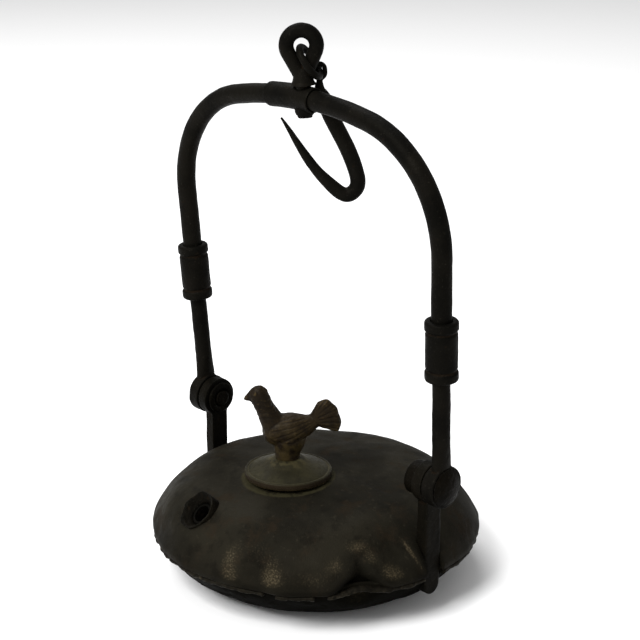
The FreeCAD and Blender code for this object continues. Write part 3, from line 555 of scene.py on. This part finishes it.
def forged(name, dark, brown, rust_share, relief_mm):
    """Old forged iron: dark skin, brown rust in the hollows, bare metal showing on worn edges."""
    material, shader, place, edge = start_finish(name, FORGED_SPECULAR, "edge")
    patches = clouds(place, 14, 4.0)
    scale = clouds(place, 2.4, 5.0, 0.62)
    grit = clouds(place, 0.7, 2.0)
    hollow = between(edge, 0.02, -0.10)
    rust = between(scale + hollow * 0.35, 0.62 - rust_share, 0.80 - rust_share)
    bare = between(edge + grit * 0.16, 0.24, 0.36)
    colour = blended(between(patches, 0.36, 0.66), dark, brown)
    colour = blended(rust * 0.8, colour, RUST_BROWN)
    colour = blended(hollow * 0.5, colour, HOLLOW_BROWN)
    colour = blended(bare * 0.7, colour, BARE_EDGE)
    specks = between(clouds(place, 0.9, 4.0, 0.7), 0.60, 0.72)
    colour = blended(specks * 0.45, colour, BARE_SPECK)
    roughness = 0.52 - 0.12 * between(patches, 0.4, 0.7) + 0.20 * rust - 0.16 * bare - 0.10 * specks
    height = scale * 0.6 + grit * 0.25 - rust * 0.2
    end_finish(shader, colour, roughness, 0.7 * bare, height, relief_mm)
    return material


lug_iron = forged("lug_iron", (0.0018, 0.0017, 0.0013, 1), (0.0040, 0.0034, 0.0023, 1), 0.02, 0.40)
worked("lug_right", "lug_right_strap", lug_iron, "root", "forged_iron", dings=0.28, seed=1.0, rounds=3)
worked("lug_left", "lug_left_strap", lug_iron, "root", "forged_iron", dings=0.28, seed=2.0, rounds=3)


# ---- Pivot rivets and burrs --------------------------------------------------------------------
# Each arm of the bail turns on an iron rivet with a large low head, hammered over a washer, the
# burr, on the inside of the lug.
rivet_iron = forged("rivet_iron", (0.0010, 0.0009, 0.0007, 1), (0.0028, 0.0022, 0.0014, 1), 0.03, 0.50)
for side, seed in (("right", 3.0), ("left", 4.0)):
    worked("pivot_rivet_" + side, "rivet_head_" + side, rivet_iron, "root", "forged_iron",
           grain=0.32, dings=0.30, spread=3.5, seed=seed, rounds=8)
    worked("rivet_burr_" + side, "burr_" + side, rivet_iron, "root", "forged_iron",
           grain=0.32, dings=0.25, spread=3.0, seed=seed, rounds=8)


# ---- Bail --------------------------------------------------------------------------------------
# The bail is one round rod bent over in an arch, let into two moulded collars, with flat-eyed arms
# below them that hang on the rivets. A boss is shrunk on at the crown for the swivel.
bail_iron = forged("bail_iron", (0.0020, 0.0019, 0.0016, 1), (0.0043, 0.0038, 0.0029, 1), 0.0, 0.32)
worked("bail_arch", "arch_rod", bail_iron, "bail", "bail_iron", grain=0.5, dings=0.26, spread=11.0, seed=5.0)
worked("crown_boss", "boss", bail_iron, "bail", "bail_iron", grain=0.28, dings=0.16, spread=3.0, seed=6.0)
for side, seed in (("right", 7.0), ("left", 8.0)):
    worked("collar_" + side, "collar_sleeve_" + side, bail_iron, "bail", "bail_iron",
           grain=0.26, dings=0.16, spread=4.0, seed=seed)
    worked("bail_arm_" + side, "arm_" + side, bail_iron, "bail", "bail_iron",
           grain=0.36, dings=0.24, spread=6.0, seed=seed)


# ---- Swivel, link and hook ---------------------------------------------------------------------
# A round eye is swivelled through the boss and burred over below. One thin link joins it to a
# forged hook with a long point.
hook_iron = forged("hook_iron", (0.0022, 0.0021, 0.0018, 1), (0.0048, 0.0043, 0.0033, 1), 0.02, 0.25)
worked("swivel_eye", "swivel_ring", hook_iron, "swivel", "hook_iron",
       grain=0.26, dings=0.14, spread=3.0, seed=9.0)

# The burr below the boss is hammered to a low round knob that fills the corner under the boss.
SWIVEL_PLACE, SWIVEL_TURN = (3.0, 0.0, 166.5), math.radians(47)
BAIL_LEAN, BAIL_PIVOT = math.radians(3.8), Vector((0, 0, 47.5))
KNOB_PROFILE = ((0, -6.15), (1.3, -6.1), (2.3, -5.8), (2.95, -5.2), (3.2, -4.4), (3.2, -3.2),
                (3.0, -2.4), (0, -2.4))
KNOB_STEPS, KNOB_HITS = 64, 0.14
knob = turned(KNOB_PROFILE, KNOB_STEPS)
point_out(knob)
for _ in range(2):
    bmesh.ops.subdivide_edges(knob, edges=knob.edges, cuts=1, use_grid_fill=True)
    smoothed(knob, 1)
knob.normal_update()
hits = [KNOB_HITS * noise.noise(v.co * 0.5) for v in knob.verts]
for v, hit in zip(knob.verts, hits):
    v.co += v.normal * hit
lean = Matrix.Translation(BAIL_PIVOT) @ Matrix.Rotation(BAIL_LEAN, 4, "X") @ Matrix.Translation(-BAIL_PIVOT)
leaned = lean @ Matrix.Translation(SWIVEL_PLACE) @ Matrix.Rotation(SWIVEL_TURN, 4, "Z")
bmesh.ops.transform(knob, matrix=Matrix.Scale(MM, 4) @ leaned, verts=knob.verts)
mark_edges(knob)
show("swivel_knob", knob, hook_iron, "swivel", "hook_iron", "swivel_burr")
worked("hook_link", "link_ring", hook_iron, "link", "hook_iron",
       grain=0.16, dings=0.08, spread=1.6, seed=10.0, scale_mm=0.34)
worked("hook", "long_hook", hook_iron, "hook", "hook_iron",
       grain=0.24, dings=0.12, spread=4.0, seed=11.0, scale_mm=0.10)


# ---- Wick collar and tube ----------------------------------------------------------------------
# The wick came out of a thin tube through an iron nut on the shoulder. The nut's mouth is worn to a
# rough funnel, with painted shade on the font round it.
nut_iron = forged("nut_iron", (0.0022, 0.0020, 0.0015, 1), (0.0053, 0.0044, 0.0029, 1), 0.05, 0.5)
# The nut is NUT_FLAT mm from its middle to its flats, and this share of its corners is left.
NUT_FLAT, CORNER_LEFT = 6.9, 0.3
nut = worked("wick_collar", "wick_nut", nut_iron, "root", "font_iron",
             grain=0.28, dings=0.42, spread=2.6, seed=12.0, rounds=16)
for v in nut.data.vertices:
    off = v.co / MM - WICK_POINT
    off -= off.dot(WICK_AXIS) * WICK_AXIS
    if off.length > NUT_FLAT:
        v.co -= off.normalized() * (off.length - NUT_FLAT) * (1 - CORNER_LEFT) * MM
soot_iron = forged("soot_iron", (0.0016, 0.0015, 0.0013, 1), (0.0034, 0.0028, 0.0021, 1), 0.03, 0.3)
worked("wick_tube", "wick_pipe", soot_iron, "root", "font_iron",
       grain=0.25, dings=0.05, spread=2.0, seed=13.0)


# ---- Filler cap --------------------------------------------------------------------------------
# A brass cap with a stepped lip screws into an iron neck over a leather washer. Its brass is dull
# olive brown, rubbed brighter along the lip.
CAP_DARK, CAP_OLIVE = (0.0092, 0.0084, 0.0044, 1), (0.0175, 0.0156, 0.0074, 1)
CAP_SPOT, CAP_HOLLOW = (0.0085, 0.0070, 0.0042, 1), (0.036, 0.031, 0.016, 1)
STAND_RING = (0.050, 0.042, 0.019, 1)
LIP_BROWN, RUBBED_BRASS = (0.0125, 0.0080, 0.0042, 1), (0.085, 0.064, 0.030, 1)
cap_brass, shader, place, edge = start_finish("old_cap_brass", 0.10, "edge")
patches = clouds(place, 8.0, 4.0)
spots = clouds(place, 1.2, 4.0, 0.6)
grit = clouds(place, 0.5, 2.0)
x, y, z = axes(place)
out_there = (x * x + (y - FILLER_Y * MM) * (y - FILLER_Y * MM)) ** 0.5
lip = between(out_there, 0.0142, 0.0147) * between(z, 0.0393, 0.0387)
stand_ring = between(out_there, 0.0085, 0.0060) * between(clouds(place, 1.8, 3.0), 0.40, 0.62)
rubbed = between(edge + spots * 0.10, 0.12, 0.24)
grime = between(edge, 0.015, -0.05)
colour = blended(between(patches, 0.36, 0.64), CAP_DARK, CAP_OLIVE)
colour = blended(between(spots, 0.55, 0.70) * 0.6, colour, CAP_SPOT)
colour = blended(grime * 0.6, colour, CAP_HOLLOW)
colour = blended(stand_ring * 0.5, colour, STAND_RING)
colour = blended(lip * 0.85, colour, LIP_BROWN)
colour = blended(rubbed * 0.8, colour, RUBBED_BRASS)
end_finish(shader, colour, 0.55 + 0.12 * between(spots, 0.45, 0.65) - 0.14 * rubbed,
           0.08 + 0.6 * rubbed, spots * 0.5 + grit * 0.3, 0.18)
# The disc from its middle below, out round the lip and back up to its middle: radius and height.
CAP_PROFILE = ((2.2, 38.1), (12.8, 38.1), (13.1, 37.9), (13.1, 37.25), (13.4, 37.05), (14.7, 37.05),
               (14.95, 37.3), (14.95, 38.6), (14.9, 39.05), (14.7, 39.3), (14.4, 39.38), (14.15, 39.3),
               (14.0, 39.12), (13.8, 39.15), (13.5, 39.35), (12.4, 39.85), (11.0, 40.45), (9.5, 41.1),
               (8.0, 41.75), (6.8, 42.35), (5.9, 42.85), (5.2, 43.2), (4.6, 43.35), (2.2, 43.38))
DISC_STEPS, DISC_LIP, DISC_TOP = 200, 13.2, 38.5
disc = turned(CAP_PROFILE, DISC_STEPS, closed=True)
point_out(disc)
for v in disc.verts:
    worn_in = Vector((v.co.x, v.co.y, 0)).normalized() * (0.10 + 0.12 * noise.noise(v.co * 0.4))
    worn_down = Vector((0, 0, 0.10 * noise.noise(v.co * 0.25) - 0.06))
    v.co += worn_down * swell(v.co.z - DISC_TOP) - worn_in * swell((v.co.xy.length - DISC_LIP) / 0.6)
ribs = [e for e in disc.edges if abs(e.verts[0].co.z - e.verts[1].co.z) > 1e-3
        or abs(e.verts[0].co.xy.length - e.verts[1].co.xy.length) > 0.5]
bmesh.ops.subdivide_edges(disc, edges=ribs, cuts=1)
bmesh.ops.transform(disc, matrix=Matrix.Scale(MM, 4) @ Matrix.Translation((0, FILLER_Y, 0)), verts=disc.verts)
mark_edges(disc)
show("cap_disc", disc, cap_brass, "cap", "cap_brass", "filler_cap")
worked("cap_plug", "cap_screw_plug", cap_brass, "cap", "cap_brass",
       grain=0.35, dings=0.06, spread=3.0, seed=15.0)
worked("filler_neck", "neck_ring", nut_iron, "root", "font_iron",
       grain=0.4, dings=0.06, spread=3.0, seed=16.0)

LEATHER_DARK, LEATHER_BROWN = (0.0085, 0.0055, 0.0032, 1), (0.0180, 0.0115, 0.0062, 1)
leather, shader, place, _ = start_finish("oiled_leather", 0.25)
pores = clouds(place, 0.8, 3.0)
stain = clouds(place, 5.0, 3.0)
colour = blended(between(stain, 0.35, 0.65), LEATHER_DARK, LEATHER_BROWN)
end_finish(shader, colour, 0.7 + 0.15 * between(pores, 0.4, 0.6), None, pores, 0.15)
worked("cap_washer", "leather_ring", leather, "washer", "washer_leather",
       grain=0.3, dings=0.06, spread=2.5, seed=17.0)


# ---- Rooster -----------------------------------------------------------------------------------
# The finial is a small bronze rooster, cast in one piece with its stand and riveted to the cap. Wing
# and tail feathers are scored into the casting, and handling has rounded them.
BIRD_TURN, BIRD_FOOT, BIRD_GRAIN = math.radians(47), 39.6, 0.26
# Balls of (along the bird, height, radius, half thickness share); each row is one convex lump.
LUMPS = (
    ((-0.2, 3.6, 4.1, 0.95), (-0.2, 6.6, 4.5, 0.95)),
    ((-0.2, 6.0, 4.3, 0.9), (0.2, 9.0, 5.2, 0.88), (0.4, 11.0, 5.9, 0.85)),
    ((-3.3, 13.6, 5.5, 0.90), (0.8, 14.1, 5.7, 0.92), (5.0, 15.2, 3.9, 0.9)),
    ((5.0, 15.0, 4.0, 0.85), (9.2, 17.0, 2.3, 0.9)),
    ((-4.7, 15.8, 4.3, 0.95), (-7.6, 21.4, 3.3, 0.95)),
    ((-7.6, 21.4, 3.3, 0.95), (-9.8, 26.3, 3.35, 0.86)),
    ((-11.2, 26.2, 2.3, 0.8), (-13.6, 25.2, 1.1, 0.9), (-14.5, 24.7, 0.5, 1.0)),
    ((-10.6, 28.9, 0.8, 0.8), (-9.2, 29.2, 0.7, 0.8), (-7.5, 27.9, 0.8, 0.8)),
    ((8.8, 17.4, 2.0, 0.95), (10.3, 20.4, 1.7, 0.95), (11.1, 22.2, 1.8, 0.9), (12.7, 22.9, 1.9, 0.9),
     (14.9, 20.9, 1.9, 0.95), (16.5, 16.6, 1.7, 0.95), (16.3, 14.4, 1.4, 0.95), (11.2, 16.2, 1.5, 1.0)),
)
clay = bmesh.new()
for lump in LUMPS:
    part = bmesh.new()
    for along, up, radius, thick in lump:
        ball = bmesh.ops.create_icosphere(part, subdivisions=3, radius=radius)["verts"]
        bmesh.ops.scale(part, verts=ball, vec=(1, thick, 1))
        bmesh.ops.translate(part, verts=ball, vec=(along, 0, up))
    hull = bmesh.ops.convex_hull(part, input=part.verts)
    loose = {g for g in hull["geom_interior"] + hull["geom_unused"] if isinstance(g, bmesh.types.BMVert)}
    bmesh.ops.delete(part, geom=list(loose), context="VERTS")
    bmesh.ops.recalc_face_normals(part, faces=part.faces)
    lump_mesh = bpy.data.meshes.new("lump")
    part.to_mesh(lump_mesh)
    part.free()
    clay.from_mesh(lump_mesh)
    bpy.data.meshes.remove(lump_mesh)
bird = reskinned(clay, BIRD_GRAIN)
smoothed(bird, 5)
bird.normal_update()


WING_PLACE, WING_LONG, WING_HIGH, WING_LEAN = (1.6, 14.6), 8.2, 4.3, 0.16
WING_ROOT, WING_SCORES = (14.5, 19.5), 7.0
TAIL_START, TAIL_ROOT, TAIL_SCORES = 9.2, (6.5, 16.8), 13.0
NECK_LOW, NECK_HIGH, NECK_BACK = 16.5, 27.0, -2.5
EYE_PLACE, EYE_RING = (-11.0, 27.5), 1.1


def score(angle, spacing, blunt):
    """A row of grooves: above 0 in each groove, with one every spacing degrees."""
    return max(0.0, math.cos(math.radians(angle * 360 / spacing)) - blunt)


def feathers(along, out, up):
    """How far the casting stands out (+) or is scored (-) at a point of the bird, in mm."""
    side = swell((abs(out) - 1.2) / 1.4)
    # The wing: an oval pad with long feathers that run from its shoulder to the tail.
    wing = 1 - ((along - WING_PLACE[0]) / WING_LONG) ** 2
    wing -= ((up - WING_PLACE[1] - along * WING_LEAN) / WING_HIGH) ** 2
    fan = math.degrees(math.atan2(up - WING_ROOT[1], WING_ROOT[0] - along))
    pad = 0.15 * swell(wing * 2.2) - 0.12 * swell(1 - abs(wing) * 7)
    relief = side * (pad - 0.24 * score(fan, WING_SCORES, 0.30) * swell(wing * 2.5))
    # The tail: feathers that spread from its root.
    sweep = math.degrees(math.atan2(up - TAIL_ROOT[1], along - TAIL_ROOT[0]))
    tail = swell((along - TAIL_START) / 1.8) * swell(abs(out) / 0.9)
    relief -= 0.26 * tail * score(sweep, TAIL_SCORES, 0.25)
    # The neck: short overlapping hackles, and an eye each side of the head.
    neck = swell((up - NECK_LOW) / 3) * swell((NECK_HIGH - up) / 3) * swell((NECK_BACK - along) / 2)
    relief -= neck * 0.16 * max(0.0, math.sin(up * 3.1 + math.cos(out * 2.6) * 1.4))
    from_eye = math.hypot(along - EYE_PLACE[0], up - EYE_PLACE[1])
    eye = math.exp(-from_eye ** 2 / 0.28) * swell(abs(out))
    ring = math.exp(-(from_eye - EYE_RING) ** 2 / 0.06) * swell(abs(out))
    return relief + 0.18 * eye - 0.12 * ring


lifts = [feathers(v.co.x, v.co.y, v.co.z) + 0.10 * noise.noise(v.co * 0.6) + 0.06 * noise.noise(v.co * 2.0)
         for v in bird.verts]
for v, lift in zip(bird.verts, lifts):
    v.co += v.normal * lift
smoothed(bird, 1, 0.3)
to_place = Matrix.Translation((0, FILLER_Y, BIRD_FOOT)) @ Matrix.Rotation(BIRD_TURN, 4, "Z")
bmesh.ops.transform(bird, matrix=Matrix.Scale(MM, 4) @ to_place, verts=bird.verts)
mark_edges(bird)

BRONZE_DARK, BRONZE_BROWN = (0.0050, 0.0031, 0.0017, 1), (0.0108, 0.0068, 0.0032, 1)
BRONZE_GOLD, SCORED_DARK = (0.0300, 0.0210, 0.0068, 1), (0.0045, 0.0032, 0.0020, 1)
RUBBED_BRONZE = (0.090, 0.062, 0.026, 1)
GOLD_TOP, GOLD_FULL = 0.0600, 0.0480
bronze, shader, place, edge = start_finish("rooster_bronze", 0.08, "edge")
patches = clouds(place, 6.0, 4.0)
spots = clouds(place, 1.0, 3.0, 0.6)
grit = clouds(place, 0.4, 2.0)
low_gold = between(axes(place)[2], GOLD_TOP, GOLD_FULL) * between(clouds(place, 3.0, 4.0), 0.34, 0.62)
rubbed = between(edge + spots * 0.12, 0.09, 0.22)
scored = between(edge, 0.0, -0.07)
colour = blended(between(patches, 0.36, 0.64), BRONZE_DARK, BRONZE_BROWN)
colour = blended(low_gold * 0.6, colour, BRONZE_GOLD)
colour = blended(scored * 0.75, colour, SCORED_DARK)
colour = blended(rubbed * 0.65, colour, RUBBED_BRONZE)
end_finish(shader, colour, 0.44 + 0.16 * between(spots, 0.4, 0.65) - 0.10 * rubbed,
           0.08 + 0.6 * rubbed, spots * 0.6 + grit * 0.3, 0.22)
show("rooster_casting", bird, bronze, "cap", "finial_bronze", "rooster")
worked("rooster_rivet", "finial_rivet", bronze, "cap", "finial_bronze",
       grain=0.25, dings=0.05, spread=2.0, seed=18.0)
